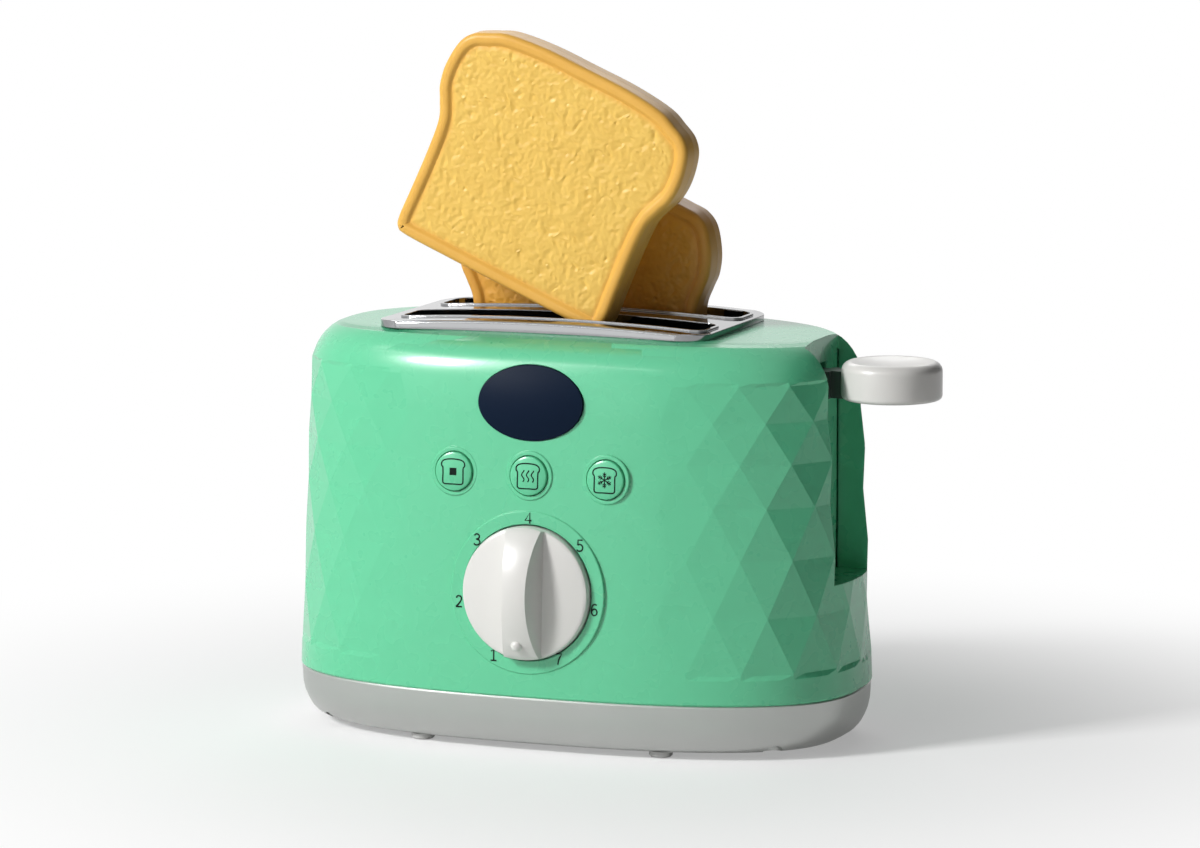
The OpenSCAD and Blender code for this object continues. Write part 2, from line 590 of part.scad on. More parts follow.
module set() {
    translate([-origin_x, -origin_y, 0]) children();
}
set() body_shell();
set() base_tray();
set() feet();
set() base_screws();
set() slot_plate();
set() badge();
set() inner_frame();
set() frame_screws();
set() guide_rods();
set() carriage();
set() rack(-1);  // rack_front
set() rack(1);  // rack_back
set() rack_screws();
set() lever_arm();
set() arm_screw();
set() lever_paddle();
set() lift_springs();
set() latch_hook();
set() latch_pin();
set() timer_case();
set() timer_cover();
set() timer_screws();
set() timer_spindle();
set() timer_knob();
set() button(-button_gap);  // stop_button
set() button(0);  // reheat_button
set() button(button_gap);  // defrost_button
set() button_plate();
set() button_screws();
set() color(bread) on_front_slice() slice_half_shell(-1);  // toast_front_face
set() color(bread) on_front_slice() slice_half_shell(1);  // toast_front_rear
set() color(bread) on_back_slice() slice_half_shell(-1);  // toast_back_face
set() color(bread) on_back_slice() slice_half_shell(1);  // toast_back_rear
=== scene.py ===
# %% [markdown]
# # A toy pop-up toaster
# This lesson dresses a finished construction model of a toy toaster in Blender. The model arrives as a
# fixed frame: every part already has its true size and place, so nothing here is fitted by eye.
# What is left is what the eye sees: soft moulded edges, gloss, printed numbers and a crinkled crust.

# %% Load the frame
import math

import bmesh
import bpy
from mathutils import Euler, Matrix, Vector, geometry, kdtree


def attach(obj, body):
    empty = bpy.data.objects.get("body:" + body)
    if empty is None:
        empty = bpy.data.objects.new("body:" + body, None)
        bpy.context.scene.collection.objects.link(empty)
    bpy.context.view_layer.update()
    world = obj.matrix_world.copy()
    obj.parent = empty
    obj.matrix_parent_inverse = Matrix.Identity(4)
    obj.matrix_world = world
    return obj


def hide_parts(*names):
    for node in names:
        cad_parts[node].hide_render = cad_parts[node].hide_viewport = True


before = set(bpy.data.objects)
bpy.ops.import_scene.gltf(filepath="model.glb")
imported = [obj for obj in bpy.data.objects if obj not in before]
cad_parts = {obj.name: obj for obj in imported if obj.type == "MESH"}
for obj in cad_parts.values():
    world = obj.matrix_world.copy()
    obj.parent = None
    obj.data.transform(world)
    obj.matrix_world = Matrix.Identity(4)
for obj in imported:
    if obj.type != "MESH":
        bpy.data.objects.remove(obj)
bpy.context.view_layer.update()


# %% [markdown]
# ## One place for the sizes
# The construction model is drawn in millimetres about the middle of the housing, and then shifted so
# that its origin is under the middle of the whole box. The same two numbers shift everything made
# here, and the housing's plan is the same superellipse, so a print can be wrapped onto it exactly.

# %% Sizes, in millimetres about the middle of the housing
SHIFT_X = (111.5 + 17.2 - 101.1) / 2
DIAL_Z = 55.5
WAIST_A, WAIST_B, WAIST_Z, PLAN_N = 99.2, 52.65, 86.0, 2.63
TAPER_A, TAPER_B = 0.034, 0.052
FRONT_B = WAIST_B + TAPER_B * (WAIST_Z - DIAL_Z)
SHIFT_Y = (56.0 - FRONT_B - 13.3) / 2
SHOULDER_Z, SHOULDER_H, SHOULDER_X, SHOULDER_Y = 123.0, 18.6, 12.5, 11.0
CROWN_R = 2700.0
FRONT_TILT = math.radians(2.98)
DIAL_TOP = 0.4
BUTTON_Z, BUTTON_GAP, BUTTON_TOP = 95.3, 27.5, 1.7
SLOT_Y = 17.9
SLICE_T, SLICE_TILT = 14.4, math.radians(24)


def place(x, y, z):
    """A point in the model's millimetres, as the frame's metres."""
    return Vector(((x - SHIFT_X) / 1000, (y - SHIFT_Y) / 1000, z / 1000))


def half_sizes(z):
    """Half length and half depth of the housing at a height, with the shoulder drawn in."""
    rise = max(0.0, min(1.0, (z - SHOULDER_Z) / SHOULDER_H))
    inset = 1 - math.sqrt(1 - rise * rise)
    return (
        WAIST_A - TAPER_A * (z - WAIST_Z) - SHOULDER_X * inset,
        WAIST_B - TAPER_B * (z - WAIST_Z) - SHOULDER_Y * inset,
    )


def front_y(x, z):
    """Where the front of the housing lies at a place on it."""
    a, b = half_sizes(z)
    return -b * (1 - min(1.0, abs(x) / a) ** PLAN_N) ** (1 / PLAN_N)


print("front at the dial:", round(front_y(0, DIAL_Z), 2), "mm")

# %% [markdown]
# ## The camera
# The photograph was taken with a long lens from the front right and a little above. A long lens keeps
# the verticals straight and the lattice rows almost parallel, which is why the focal length matters
# more here than the distance.

# %% Camera
CAMERA_YAW, CAMERA_PITCH = 20.76, 8.37
CAMERA_PLACE = (669.7, -1751.6, 381.7)
FOCAL_PIXELS, PHOTO_WIDTH = 5470.0, 1200.0

camera_data = bpy.data.cameras.new("camera")
camera_data.sensor_width = 36.0
camera_data.sensor_fit = "HORIZONTAL"
camera_data.lens = 36.0 * FOCAL_PIXELS / PHOTO_WIDTH
camera_data.clip_start, camera_data.clip_end = 0.05, 60.0
camera = bpy.data.objects.new("camera", camera_data)
bpy.context.scene.collection.objects.link(camera)
camera.location = place(*CAMERA_PLACE)
camera.rotation_euler = Euler((math.radians(90 - CAMERA_PITCH), 0, math.radians(CAMERA_YAW)))
bpy.context.scene.camera = camera
print("lens", round(camera_data.lens, 1), "mm")

# %% [markdown]
# ## Writing shaders as sums
# A shader tree is easier to read as arithmetic than as a drawing. `Value` wraps one socket and turns
# `+`, `-` and `*` into Math nodes; `Finish` is one material being built, and its `node` method
# makes every other node.


# %% Shader helpers
class Value:
    """A socket that can be used in a Python expression."""

    def __init__(self, finish, socket):
        self.finish, self.socket = finish, socket

    def _math(self, operation, first, second):
        return self.finish.node("ShaderNodeMath", {"operation": operation}, {0: first, 1: second})

    def __add__(self, other):
        return self._math("ADD", self, other)

    def __sub__(self, other):
        return self._math("SUBTRACT", self, other)

    def __rsub__(self, other):
        return self._math("SUBTRACT", other, self)

    def __mul__(self, other):
        return self._math("MULTIPLY", self, other)

    __radd__, __rmul__ = __add__, __mul__


class Finish:
    """A material (or, when one is given, a world) under construction."""

    def __init__(self, name, world=None):
        self.material = world or bpy.data.materials.new(name)
        self.material.use_nodes = True
        self.tree = self.material.node_tree
        self.tree.nodes.clear()
        self.output = self.tree.nodes.new("ShaderNodeOutput" + ("World" if world else "Material"))
        self.surface = self.tree.nodes.new("ShaderNode" + ("Background" if world else "BsdfPrincipled"))
        self.show(Value(self, self.surface.outputs[0]))

    def show(self, shader):
        self.put(self.output, 0, shader)

    def ray(self, kind):
        """1 for rays of one kind, such as Camera or Glossy, and 0 for others."""
        return self.node("ShaderNodeLightPath", output="Is " + kind + " Ray")

    def put(self, node, name, value):
        socket = node.inputs[name]
        if isinstance(value, Value):
            self.tree.links.new(value.socket, socket)
        elif socket.type == "RGBA" and len(value) == 3:
            socket.default_value = (*value, 1.0)
        else:
            socket.default_value = value

    def node(self, kind, settings=None, sockets=None, output=0):
        made = self.tree.nodes.new(kind)
        for key, value in (settings or {}).items():
            if key == "stops":
                while len(made.color_ramp.elements) < len(value):
                    made.color_ramp.elements.new(0.5)
                for element, (where, colour) in zip(made.color_ramp.elements, value):
                    element.position, element.color = where, (*colour, 1.0)
            else:
                setattr(made, key, value)
        for key, value in (sockets or {}).items():
            self.put(made, key, value)
        return Value(self, made.outputs[output])

    def where(self):
        """The point on the piece, in metres."""
        return self.node("ShaderNodeTexCoord", output=3)

    def noise(self, size_mm, detail=3.0, roughness=0.5):
        return self.node(
            "ShaderNodeTexNoise",
            {},
            {"Vector": self.where(), "Scale": 1000.0 / size_mm, "Detail": detail, "Roughness": roughness},
        )

    def blend(self, mask, colour_a, colour_b):
        """colour_a where the mask is 0 and colour_b where it is 1."""
        return self.node("ShaderNodeMix", {"data_type": "RGBA"}, {0: mask, 6: colour_a, 7: colour_b}, 2)

    def step(self, value, low, high):
        """0 below low, 1 above high, and a smooth climb between."""
        return self.node(
            "ShaderNodeMapRange", {"interpolation_type": "SMOOTHSTEP"}, {"Value": value, 1: low, 2: high}
        )

    def relief(self, height, depth_mm, soft_edge_mm=0.0):
        """Fine relief, on top of edges that look rounded by soft_edge_mm."""
        sockets = {"Height": height, "Distance": depth_mm / 1000, "Strength": 1.0}
        if soft_edge_mm:
            sockets["Normal"] = self.node(
                "ShaderNodeBevel", {"samples": 6}, {"Radius": soft_edge_mm / 1000}
            )
        self.put(self.surface, "Normal", self.node("ShaderNodeBump", {}, sockets))

    def set(self, **values):
        for name, value in values.items():
            self.put(self.surface, name.replace("_", " "), value)
        return self.material


print("shader helpers ready")

# %% [markdown]
# ## Finishes
# Every piece of this toy is moulded plastic or bright metal, so the finishes differ mostly in gloss.
# Each has a slow drift of tone, as a moulding has where the melt cooled unevenly, and a faint
# mould texture that breaks up reflections. The housing and the chrome also bend their normals near an
# edge, because a moulded or pressed edge is never sharp and catches a thin line of light.


# %% Moulded plastic
def moulded(name, colour, drift=0.02, gloss=0.22, grain_mm=0.7, depth_mm=0.002, edge_mm=0.0, coat=0.2):
    finish = Finish(name)
    cloud = finish.noise(60, 2)
    darker = [c * (1 - drift) for c in colour]
    lighter = [min(1.0, c * (1 + drift)) for c in colour]
    finish.relief(finish.noise(grain_mm, 2), depth_mm, edge_mm)
    return finish.set(
        Base_Color=finish.blend(cloud, darker, lighter),
        Roughness=gloss + 0.03 * finish.noise(9, 2),
        Coat_Weight=coat,
        Coat_Roughness=0.1,
    )


MINT = (0.098, 0.515, 0.275)
mint = moulded("mint_plastic", MINT, gloss=0.26, edge_mm=0.4, coat=0.3)
mint_button = moulded("mint_button_plastic", MINT, gloss=0.26)
warm_white = moulded("warm_white_plastic", (0.63, 0.62, 0.597), gloss=0.3, coat=0.1)
# the lever arm is dark plastic, and its green tint is a painted reflection of the mint recess around it
arm_painted_reflection_plastic = moulded("lever_arm_painted_reflection_plastic", (0.035, 0.055, 0.045), gloss=0.4)
# the slot wells are painted almost black-green: painted shade for the deep, unlit wells seen through the
# slots
wells_painted_shade = moulded("wells_painted_shade", (0.008, 0.02, 0.014), gloss=0.7, coat=0.0)
badge_plastic = moulded("badge_plastic", (0.003, 0.009, 0.024), drift=0.05, gloss=0.45, coat=0.0)
badge_plastic.node_tree.nodes["Principled BSDF"].inputs["Specular IOR Level"].default_value = 0.06
rubber = moulded("foot_rubber", (0.46, 0.46, 0.45), gloss=0.6, grain_mm=0.4, depth_mm=0.02, coat=0.0)
print("plastics:", mint.name, warm_white.name, badge_plastic.name)


# %% Metals
def metal(name, colour, gloss, streak=0.03, edge_mm=0.0, metallic=1.0, grain_mm=1.5):
    finish = Finish(name)
    cloud = finish.noise(18, 3)
    finish.relief(finish.noise(grain_mm, 2), 0.0008, edge_mm)
    return finish.set(
        Base_Color=finish.blend(cloud, [c * 0.94 for c in colour], colour),
        Metallic=metallic,
        Roughness=gloss + streak * finish.noise(4, 4),
    )


chrome = metal("bright_chrome", (0.33, 0.335, 0.34), 0.07, 0.02, edge_mm=0.5)
zinc = metal("zinc_plate", (0.55, 0.57, 0.58), 0.3, 0.08)
can_metal = metal("timer_can_metal", (0.52, 0.45, 0.28), 0.35, 0.1)
silver_paint = metal("silver_base_paint", (0.49, 0.50, 0.485), 0.33, 0.03, metallic=0.85)
print("metals:", chrome.name, zinc.name, silver_paint.name)

# %% [markdown]
# ## Copies of the frame's parts
# The frame's meshes are loose triangles. A copy with its doubles merged can be shaded smoothly, with
# a sharp edge wherever two faces meet at more than a given angle. The copy then stands for the part.


# %% Helpers for pieces
def add_object(name, mesh):
    made = bpy.data.objects.new(name, mesh)
    bpy.context.scene.collection.objects.link(made)
    return made


def shade(mesh, sharp_deg=30):
    """Smooth shading with sharp edges past an angle."""
    work = bmesh.new()
    work.from_mesh(mesh)
    limit = math.radians(sharp_deg)
    for face in work.faces:
        face.smooth = True
    for edge in work.edges:
        edge.smooth = len(edge.link_faces) == 2 and edge.calc_face_angle(0.0) < limit
    work.to_mesh(mesh)
    work.free()


def finish_piece(piece, material, body, stands_for=()):
    piece.data.materials.clear()
    piece.data.materials.append(material)
    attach(piece, body)
    if stands_for:
        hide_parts(*stands_for)
    return piece


def merged_copy(node, name):
    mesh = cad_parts[node].data.copy()
    mesh.name = name
    mesh.materials.clear()
    work = bmesh.new()
    work.from_mesh(mesh)
    bmesh.ops.remove_doubles(work, verts=work.verts, dist=2e-6)
    bmesh.ops.dissolve_degenerate(work, edges=work.edges, dist=1e-7)
    work.to_mesh(mesh)
    work.free()
    return add_object(name, mesh)


def rounded(piece, radius_mm, steps=2, past_deg=30):
    """Rounds every sharp edge of a merged copy with a Bevel modifier, and applies it."""
    work = bmesh.new()
    work.from_mesh(piece.data)
    bmesh.ops.dissolve_limit(work, angle_limit=math.radians(0.6), verts=work.verts, edges=work.edges)
    work.to_mesh(piece.data)
    work.free()
    bevel = piece.modifiers.new("round", "BEVEL")
    bevel.width, bevel.segments, bevel.limit_method = radius_mm / 1000, steps, "ANGLE"
    bevel.angle_limit, bevel.use_clamp_overlap = math.radians(past_deg), True
    bpy.context.view_layer.update()
    mesh = bpy.data.meshes.new_from_object(piece.evaluated_get(bpy.context.evaluated_depsgraph_get()))
    piece.modifiers.clear()
    piece.data = mesh


def dressed(node, name, material, body, sharp_deg=30, round_mm=0.0):
    piece = merged_copy(node, name)
    if round_mm:
        rounded(piece, round_mm)
    shade(piece.data, sharp_deg)
    return finish_piece(piece, material, body, (node,))


print("piece helpers ready")

# %% [markdown]
# ## The housing
# The moulding mixes two kinds of surface: a smooth drum along the front and back and over the
# shoulder, and a diamond lattice of flat facets round each end. Smooth faces take their normals from
# the plan's own formula, so their reflections run on unbroken round every cut-out, and the lattice
# keeps a true fold along each edge.

# %% Housing
ROWS = (29.8, 49.0, 68.3, 86.0, 100.8, 114.9, 127.3)
LATTICE_LOW, LATTICE_HIGH = ROWS[0] - 1.6, ROWS[-1] + 1.6


def drum_normal(x, y, z):
    """Outward direction of the smooth housing at a point on it, and how far off it the point is."""
    a, b = half_sizes(z)
    up = half_sizes(z + 0.01)
    slope_a, slope_b = (up[0] - a) / 0.01, (up[1] - b) / 0.01
    fx, fy = abs(x) / a, abs(y) / b
    level = fx**PLAN_N + fy**PLAN_N
    direction = Vector(
        (
            math.copysign(fx ** (PLAN_N - 1), x) / a,
            math.copysign(fy ** (PLAN_N - 1), y) / b,
            -(fx**PLAN_N) * slope_a / a - fy**PLAN_N * slope_b / b,
        )
    )
    return direction.normalized(), (level ** (1 / PLAN_N) - 1) * min(a, b)


CROWN_BLEND_Z = 131.0


def shoulder_normal(x, y, z):
    """The drum's direction, turned towards the crown's as the point nears the crown."""
    crown_z = SHOULDER_Z + SHOULDER_H - x * x / (2 * CROWN_R)
    share = max(0.0, min(1.0, (z - CROWN_BLEND_Z) / (crown_z - CROWN_BLEND_Z))) ** 2
    crown = Vector((x / CROWN_R, 0, 1)).normalized()
    return (drum_normal(x, y, z)[0] * (1 - share) + crown * share).normalized()


def housing_mesh(piece):
    mesh = piece.data
    work = bmesh.new()
    work.from_mesh(mesh)
    top_z = SHOULDER_Z + SHOULDER_H
    kinds = {}
    for face in work.faces:
        face.smooth = True
        points = [(v.co.x * 1000 + SHIFT_X, v.co.y * 1000 + SHIFT_Y, v.co.z * 1000) for v in face.verts]
        middle = [sum(p[i] for p in points) / len(points) for i in range(3)]
        kind = "cut"
        if all(p[2] > 139.0 for p in points) and face.normal.z > 0.9:
            kind = "top"
        elif all(20.0 < p[2] < top_z - 0.6 for p in points):
            offs = [drum_normal(*p) for p in points]
            if all(abs(o[1]) < 0.25 for o in offs) and face.normal.dot(offs[0][0]) > 0.9:
                kind = "drum"
            if LATTICE_LOW - 0.1 < middle[2] < LATTICE_HIGH + 0.1 and abs(middle[0]) > 47.0:
                centre = drum_normal(*middle)
                if -2.2 < centre[1] < 0.3 and face.normal.dot(centre[0]) > 0.8:
                    kind = "facet"
        kinds[face.index] = kind
    for edge in work.edges:
        if len(edge.link_faces) != 2:
            continue
        pair = {kinds[f.index] for f in edge.link_faces}
        angle = math.degrees(edge.calc_face_angle(0.0))
        limit = 1.0 if "facet" in pair else 45.0 if pair == {"drum", "top"} else 28.0
        edge.smooth = angle < limit
    work.to_mesh(mesh)
    work.free()
    normals = []
    for polygon in mesh.polygons:
        for index in polygon.vertices:
            co = mesh.vertices[index].co
            p = (co.x * 1000 + SHIFT_X, co.y * 1000 + SHIFT_Y, co.z * 1000)
            kind = kinds[polygon.index]
            if kind == "drum":
                normals.append(shoulder_normal(*p))
            elif kind == "top" and p[2] < top_z + 0.05:
                normals.append(Vector((p[0] / CROWN_R, 0, 1)).normalized())
            else:
                normals.append(Vector((0, 0, 0)))
    mesh.normals_split_custom_set(normals)
    return {k: list(kinds.values()).count(k) for k in set(kinds.values())}


housing = merged_copy("body_shell", "housing")
counts = housing_mesh(housing)
finish_piece(housing, mint, "housing", ("body_shell",))
print("housing faces:", counts)

# %% [markdown]
# ## Base, slot plate and badge
# These keep the construction model's shape: a turned-in silver tray, a bowed chrome plate with a
# raised rim round each slot, and a shallow oval badge that is left plain.

# %% Base, plate and badge
base = dressed("base_tray", "base", silver_paint, "housing", 28)
plate = dressed("slot_plate", "slot_plate_chrome", chrome, "housing", 35)
badge = dressed("badge", "badge_oval", badge_plastic, "housing", 30, 0.2)
print("base", len(base.data.polygons), "plate", len(plate.data.polygons), "badge", len(badge.data.polygons))

# %% [markdown]
# ## The knob
# A disc carries a tapered rib whose top is an arch. The construction model has these forms with sharp
# edges; a moulding can't, so the copy is bevelled, and the small radius draws a line of light along
# the rib. The pointer bump at the rib's lower end is part of the same moulding.


# %% Knob
def on_front(u, v, out, x=0.0, z=DIAL_Z):
    """A point given across, up and out from a place on the front face."""
    s, c = math.sin(FRONT_TILT), math.cos(FRONT_TILT)
    return place(x + u, front_y(x, z) - out * c + v * s, z + v * c + out * s)


knob = dressed("timer_knob", "knob", warm_white, "knob", 32, 0.5)
print("knob faces:", len(knob.data.polygons))

# %% [markdown]
# ## Prints
# The numbers and button signs are thin ink. Each is made flat and then wrapped: every point keeps
# its place across and up, and takes its depth from the surface below it.

# %% Ink and digits
ink = moulded("print_ink", (0.006, 0.012, 0.01), gloss=0.7, coat=0.0)
ink.node_tree.nodes["Principled BSDF"].inputs["Specular IOR Level"].default_value = 0.1
INK = 0.06


def curve_through(points, steps, closed=False):
    """A smooth line through given points."""
    line, last = [], len(points) - 1
    for i in range(len(points) if closed else last):
        near = [(i + k) % len(points) if closed else max(0, min(last, i + k)) for k in (-1, 0, 1, 2)]
        p0, p1, p2, p3 = (points[k] for k in near)
        for step in range(steps):
            t = step / steps
            line.append(tuple(0.5 * (2 * p1[c] + t * (p2[c] - p0[c])
                        + t * t * (2 * p0[c] - 5 * p1[c] + 4 * p2[c] - p3[c])
                        + t**3 * (3 * p1[c] - p0[c] - 3 * p2[c] + p3[c])) for c in range(2)))
    return line if closed else line + [points[-1]]


def ribbon(points, width, closed=False):
    """A flat stroke along a line, as a list of quads in the plane."""
    count, rails, quads = len(points), [], []
    for i, (x, y) in enumerate(points):
        x0, y0 = points[i - 1] if closed or i else points[i]
        x1, y1 = points[(i + 1) % count] if closed or i + 1 < count else points[i]
        length = math.hypot(x1 - x0, y1 - y0) or 1.0
        nx, ny = -(y1 - y0) / length * width / 2, (x1 - x0) / length * width / 2
        rails.append(((x + nx, y + ny), (x - nx, y - ny)))
    for i in range(count if closed else count - 1):
        (a, b), (c, d) = rails[i], rails[(i + 1) % count]
        quads.append((a, b, d, c))
    return quads


def ink_object(name, quads, wrap, lift):
    """Turns flat quads into a thin layer of ink; wrap gives a point for (u, v, out)."""
    points, faces = [], []
    for quad in quads:
        a = len(points)
        for out in (lift + INK, lift - 0.04):
            points += [wrap(u, v, out) for u, v in quad]
        faces += [(a, a + 1, a + 2, a + 3), (a + 7, a + 6, a + 5, a + 4)]
        faces += [(a + k, a + 4 + k, a + 4 + (k + 1) % 4, a + (k + 1) % 4) for k in range(4)]
    mesh = bpy.data.meshes.new(name)
    mesh.from_pydata(points, [], faces)
    work = bmesh.new()
    work.from_mesh(mesh)
    bmesh.ops.recalc_face_normals(work, faces=work.faces)
    work.to_mesh(mesh)
    work.free()
    return add_object(name, mesh)


print("ink helpers ready")

# %% Dial numbers
DIGIT_H, DIGIT_STROKE = 3.75, 0.52
# each number: strokes of (smooth?, points) in a box one unit high, and its middle on the dial in mm
NUMBERS = {
    "1": ((-11.8, -22.0), [(0, [(0.06, 0.84), (0.32, 1), (0.32, 0)]), (0, [(0.02, 0), (0.6, 0)])]),
    "2": ((-24.8, -4.4), [(1, [(0.04, 0.8), (0.14, 0.95), (0.3, 1), (0.48, 0.93), (0.54, 0.74), (0.46, 0.5),
                               (0.22, 0.2), (0.03, 0)]), (0, [(0, 0), (0.6, 0)])]),
    "3": ((-18.5, 17.1), [(1, [(0.03, 0.86), (0.15, 0.97), (0.3, 1), (0.47, 0.92), (0.51, 0.76), (0.42, 0.59),
                               (0.2, 0.53)]), (1, [(0.2, 0.53), (0.46, 0.46), (0.57, 0.26), (0.47, 0.07),
                                                   (0.27, 0), (0.1, 0.03), (0, 0.13)])]),
    "4": ((0.0, 25.5), [(0, [(0.62, 0.27), (0, 0.27), (0.45, 1), (0.45, 0)])]),
    "5": ((18.9, 17.2), [(0, [(0.53, 1), (0.11, 1), (0.08, 0.52)]), (1, [(0.08, 0.53), (0.25, 0.61),
                         (0.45, 0.55), (0.56, 0.33), (0.47, 0.08), (0.26, 0), (0.1, 0.03), (0, 0.12)])]),
    "6": ((24.4, -4.3), [(1, [(0.54, 0.92), (0.38, 1), (0.17, 0.9), (0.05, 0.6), (0.06, 0.24), (0.18, 0.04),
                              (0.34, 0), (0.52, 0.1), (0.58, 0.3), (0.5, 0.5), (0.34, 0.58), (0.16, 0.5),
                              (0.06, 0.34)])]),
    "7": ((12.0, -21.9), [(0, [(0, 1), (0.57, 1), (0.4, 0.7), (0.27, 0.4), (0.2, 0)])]),
}
for text, ((u, v), strokes) in NUMBERS.items():
    quads = []
    for smooth, points in strokes:
        line = [(u + (x - 0.3) * DIGIT_H, v + (y - 0.5) * DIGIT_H) for x, y in points]
        quads += ribbon(curve_through(line, 5) if smooth else line, DIGIT_STROKE)
    finish_piece(ink_object("number_" + text, quads, on_front, DIAL_TOP), ink, "housing")
print("numbers:", len(NUMBERS))


# %% Button signs
def bread_sign():
    """Outline of a slice of bread, as a closed line."""
    half = [(0.0, -4.3), (2.7, -4.3), (3.45, -4.0), (3.7, -3.25), (3.7, 1.05), (4.15, 1.8), (4.2, 2.75),
            (3.75, 3.5), (2.75, 4.0), (1.4, 4.22), (0.0, 4.28)]
    return curve_through(half + [(-x, y) for x, y in reversed(half[1:-1])], 5, True)


STROKE = 0.46
outline = ribbon(bread_sign(), STROKE, True)
square = [(-1.25, -1.25), (1.25, -1.25), (1.25, 1.25), (-1.25, 1.25)]
waves = []
for shift in (-1.75, 0.0, 1.75):
    wave = [(shift + 0.42 * math.sin(2 * math.pi * k / 16), -2.0 + 4.0 * k / 20) for k in range(21)]
    waves += ribbon(wave, 0.4)
print("sign strokes:", len(outline), len(waves))

# %% [markdown]
# The frost sign is one arm turned six times. Geometry Nodes do the turning: points at the sign's middle
# carry copies of the arm, and each copy takes its turn from the point's own index.


# %% Frost sign by Geometry Nodes
def turned_copies(arm_mesh, arms):
    """A plain mesh of one flat arm turned about the z axis."""
    tree = bpy.data.node_groups.new("turn_arm", "GeometryNodeTree")
    tree.interface.new_socket(name="Arm", in_out="INPUT", socket_type="NodeSocketGeometry")
    count_socket = tree.interface.new_socket(name="Arms", in_out="INPUT", socket_type="NodeSocketInt")
    tree.interface.new_socket(name="Sign", in_out="OUTPUT", socket_type="NodeSocketGeometry")
    new = tree.nodes.new
    start, end = new("NodeGroupInput"), new("NodeGroupOutput")
    line, index, turn = new("GeometryNodeMeshLine"), new("GeometryNodeInputIndex"), new("ShaderNodeMath")
    share, vector = new("ShaderNodeMath"), new("ShaderNodeCombineXYZ")
    place_arms, realize = new("GeometryNodeInstanceOnPoints"), new("GeometryNodeRealizeInstances")
    paint = new("GeometryNodeSetMaterial")
    share.operation, turn.operation = "DIVIDE", "MULTIPLY"
    turn.inputs[1].default_value = 2 * math.pi
    line.inputs["Offset"].default_value = (0, 0, 0)
    paint.inputs["Material"].default_value = ink
    link = tree.links.new
    link(start.outputs["Arms"], line.inputs["Count"])
    link(index.outputs[0], share.inputs[0])
    link(start.outputs["Arms"], share.inputs[1])
    link(share.outputs[0], turn.inputs[0])
    link(turn.outputs[0], vector.inputs["Z"])
    link(line.outputs[0], place_arms.inputs["Points"])
    link(start.outputs["Arm"], place_arms.inputs["Instance"])
    link(vector.outputs[0], place_arms.inputs["Rotation"])
    link(place_arms.outputs[0], realize.inputs[0])
    link(realize.outputs[0], paint.inputs[0])
    link(paint.outputs[0], end.inputs[0])
    holder = add_object("arm_holder", arm_mesh)
    modifier = holder.modifiers.new("turn", "NODES")
    modifier.node_group = tree
    modifier[count_socket.identifier] = arms
    bpy.context.view_layer.update()
    made = bpy.data.meshes.new_from_object(holder.evaluated_get(bpy.context.evaluated_depsgraph_get()))
    holder.modifiers.clear()
    bpy.data.objects.remove(holder)
    return made


arm_quads = ribbon([(0, 0), (0, 2.7)], 0.34)
for side in (-1, 1):
    arm_quads += ribbon([(0, 1.0), (side * 0.62, 1.65)], 0.3) + ribbon([(0, 1.7), (side * 0.6, 2.3)], 0.3)
arm_mesh = bpy.data.meshes.new("frost_arm")
arm_mesh.from_pydata([(x, y, 0) for quad in arm_quads for x, y in quad], [],
                     [tuple(range(4 * i, 4 * i + 4)) for i in range(len(arm_quads))])
frost = turned_copies(arm_mesh, 6)
frost_quads = [[(frost.vertices[i].co.x, frost.vertices[i].co.y) for i in p.vertices] for p in frost.polygons]
for name, quads, x, body in (
    ("stop_sign", outline + [square], -BUTTON_GAP, "stop"),
    ("steam_sign", outline + waves, 0.0, "reheat"),
    ("frost_sign", outline + frost_quads, BUTTON_GAP, "defrost"),
):
    sign = ink_object(name, quads, lambda u, v, out, x=x: on_front(u, v, out, x, BUTTON_Z), BUTTON_TOP)
    finish_piece(sign, ink, body)
print("frost quads:", len(frost_quads))

# %% [markdown]
# ## Slices of bread
# A slice is two moulded halves that meet at mid-thickness. Round the edge runs a smooth rolled crust,
# and inside it lies a sunk field with a crinkled, crumpled-paper texture. The field is real relief:
# a Geometry Nodes tree pushes its points in and out by a folded noise.

# %% Slice outline
SLICE_PTS = [(0, 0), (20, 0), (36.8, 0.2), (40.6, 1.6), (41.8, 5.5), (41.6, 16), (41.4, 30), (41.9, 42),
             (44.2, 48.4), (46.4, 53.6), (47.2, 61), (45.7, 70), (42.2, 75), (36.9, 77.8), (30, 80.4),
             (16, 81.9), (0, 82)]


def drawn_in(line, depth):
    """The line moved inwards by a distance."""
    moved, count = [], len(line)
    for i, (x, y) in enumerate(line):
        dx, dy = line[(i + 1) % count][0] - line[i - 1][0], line[(i + 1) % count][1] - line[i - 1][1]
        length = math.hypot(dx, dy)
        moved.append((x - dy / length * depth, y + dx / length * depth))
    return moved


slice_line = curve_through(SLICE_PTS + [(-x, y) for x, y in reversed(SLICE_PTS[1:-1])], 8, True)
print("slice outline:", len(slice_line), "points")


# %% Slice halves
RIM_IN, FIELD_DROP, FIELD_GRID = 4.7, 1.15, 0.62
SLICE_GAP = 0.02


